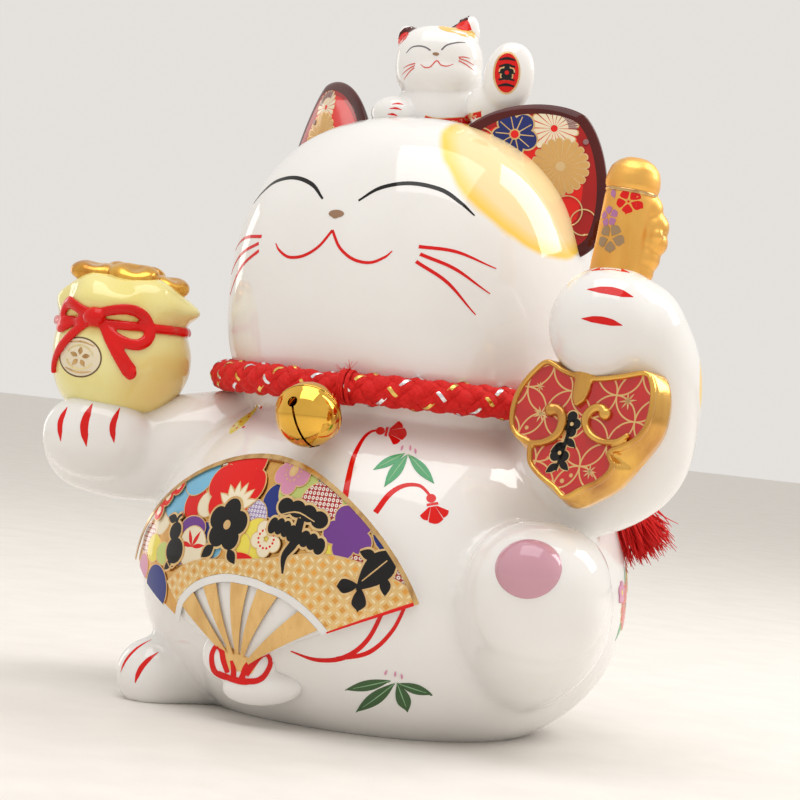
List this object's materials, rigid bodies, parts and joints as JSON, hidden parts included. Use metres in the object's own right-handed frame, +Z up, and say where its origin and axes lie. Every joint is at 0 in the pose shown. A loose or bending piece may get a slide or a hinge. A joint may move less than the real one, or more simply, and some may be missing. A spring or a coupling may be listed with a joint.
{
  "type": "lucky cat figurine",
  "caption": "Seated glazed ceramic cat with a raised arm, a money bag, a sceptre, a belly fan, a kitten on its head and a braided collar with a jingle bell.",
  "frame": {"origin": "middle of the bounding box, on the plane that the cat stands on", "axes": "+X to the cat's left, +Y to the cat's back, +Z up"},
  "size_m": [0.2252, 0.1705, 0.2333],
  "materials": {
    "white_glaze": "glossy white glaze over slip-cast porcelain",
    "red_ear_glaze": "glossy red and brown overglaze",
    "cream_glaze": "glossy pale yellow glaze",
    "pink_glaze": "glossy mauve pink glaze",
    "gold_lustre": "fired gold lustre over glaze",
    "fan_enamel": "glossy printed enamel with gold lines",
    "red_enamel": "glossy red enamel",
    "red_cord": "braided red polyester cord with metallic threads",
    "polished_brass": "polished gold-plated sheet brass",
    "steel": "plain steel ball",
    "stopper_rubber": "soft off-white rubber"
  },
  "bodies": {
    "cat": {"arm_left_raised": "white_glaze", "arm_right_lowered": "white_glaze", "bag_coins": "gold_lustre", "bag_ribbon": "red_enamel", "bell_thread": "red_cord", "body_shell": "white_glaze", "collar_cord": "red_cord", "collar_knot": "red_cord", "collar_whipping": "red_cord", "cord_end_left": "red_cord", "cord_end_right": "red_cord", "ear_left": "red_ear_glaze", "ear_right": "red_ear_glaze", "end_whipping_left": "red_cord", "end_whipping_right": "red_cord", "fan_relief": "fan_enamel", "foot_left_raised": "white_glaze", "foot_right_resting": "white_glaze", "kitten_arm_raised": "white_glaze", "kitten_body": "white_glaze", "money_bag": "cream_glaze", "ruyi_handle": "gold_lustre", "ruyi_head": "gold_lustre", "sole_pad_left": "pink_glaze", "tail": "white_glaze", "tassel_left": "red_cord", "tassel_right": "red_cord"},
    "bell_loop": {"bell_eyelet": "polished_brass"},
    "bell": {"bell_upper_cup": "polished_brass", "bell_lower_cup": "polished_brass"},
    "pellet": {"bell_pellet": "steel"},
    "stopper": {"base_stopper": "stopper_rubber"}
  },
  "joints": [
    {"name": "bell_swing", "type": "hinge", "parent": "cat", "child": "bell_loop", "pos_m": [0.0013, -0.06024, 0.1053], "axis": [1, 0, 0], "range_deg": [-45, 10]},
    {"name": "bell_spin", "type": "hinge", "parent": "bell_loop", "child": "bell", "pos_m": [0.0013, -0.06024, 0.1053], "axis": [-0.29, 0.7969, 0.5299], "continuous": true},
    {"name": "pellet_roll", "type": "hinge", "parent": "bell", "child": "pellet", "pos_m": [0.00516, -0.07084, 0.09825], "axis": [1, 0, 0], "range_deg": [-50, 50]},
    {"name": "stopper_pull", "type": "slide", "parent": "cat", "child": "stopper", "axis": [0, 0, -1], "range_m": [0, 0.02]}
  ]
}
